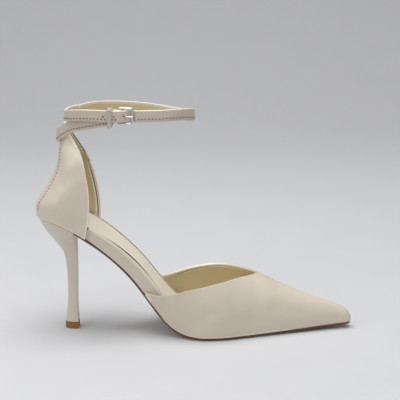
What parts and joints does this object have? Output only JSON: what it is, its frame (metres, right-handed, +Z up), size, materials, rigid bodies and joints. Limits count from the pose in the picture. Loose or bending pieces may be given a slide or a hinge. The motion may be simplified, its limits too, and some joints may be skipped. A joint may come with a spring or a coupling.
{
  "type": "ankle strap pump",
  "caption": "Pointed pump with a stiletto heel, open sides at the waist, and a buckled ankle strap held at the back of the counter.",
  "frame": {"origin": "middle of the bounding box, on the floor that the shoe stands on", "axes": "+X towards the toe, +Y towards the inner side of the foot, +Z up"},
  "size_m": [0.2416, 0.0718, 0.1752],
  "materials": {
    "outsole": "satin brown edge",
    "heel": "smooth covered heel, semi-gloss",
    "top_piece": "satin brown",
    "insole_board": "fibre board",
    "sock": "smooth sock lining, satin",
    "waist_wrap_lateral": "smooth, semi-gloss",
    "waist_wrap_medial": "smooth, semi-gloss",
    "vamp": "smooth, semi-gloss",
    "counter": "smooth, semi-gloss",
    "ankle_strap": "smooth, semi-gloss, stitched",
    "buckle_frame": "polished nickel",
    "buckle_prong": "polished nickel",
    "keeper": "smooth, semi-gloss"
  },
  "bodies": {
    "root": {"outsole": "outsole", "heel": "heel", "top_piece": "top_piece", "insole_board": "insole_board", "sock": "sock", "waist_wrap_lateral": "waist_wrap_lateral", "waist_wrap_medial": "waist_wrap_medial", "vamp": "vamp", "counter": "counter", "ankle_strap": "ankle_strap", "buckle_frame": "buckle_frame", "buckle_prong": "buckle_prong", "keeper": "keeper"}
  },
  "joints": []
}
